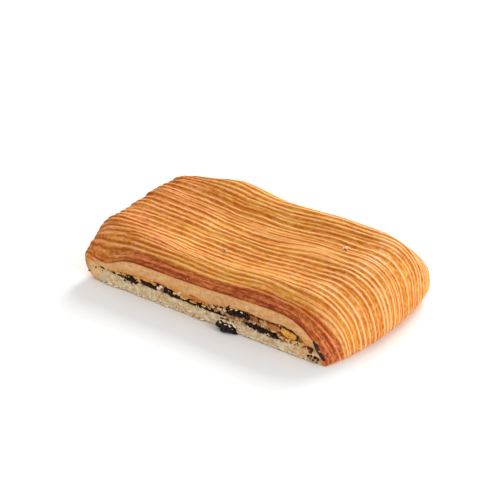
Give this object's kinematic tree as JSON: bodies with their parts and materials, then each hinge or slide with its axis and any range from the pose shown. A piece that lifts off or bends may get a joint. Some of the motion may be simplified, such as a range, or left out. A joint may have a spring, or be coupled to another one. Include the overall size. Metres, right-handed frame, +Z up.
{
  "type": "pain suisse",
  "caption": "Baked pastry: ridged laminated dough folded into a flat sleeve round pastry cream and a chocolate layer that show at its long cut side.",
  "frame": {"origin": "centre of the bounding box at the level it rests on", "axes": "+X along the ridges and the length, towards the end that rolls over lower; +Y from the shown cut side to the back; +Z up"},
  "size_m": [0.1444, 0.0824, 0.033],
  "materials": {
    "crust": "baked, satin",
    "cream": "baked cream, satin",
    "chocolate": "melted and set, satin"
  },
  "bodies": {
    "root": {"dough": "crust", "pastry_cream": "cream", "chocolate": "chocolate", "chocolate_lump": "chocolate", "chocolate_chip": "chocolate", "chocolate_streak": "chocolate"}
  },
  "joints": []
}
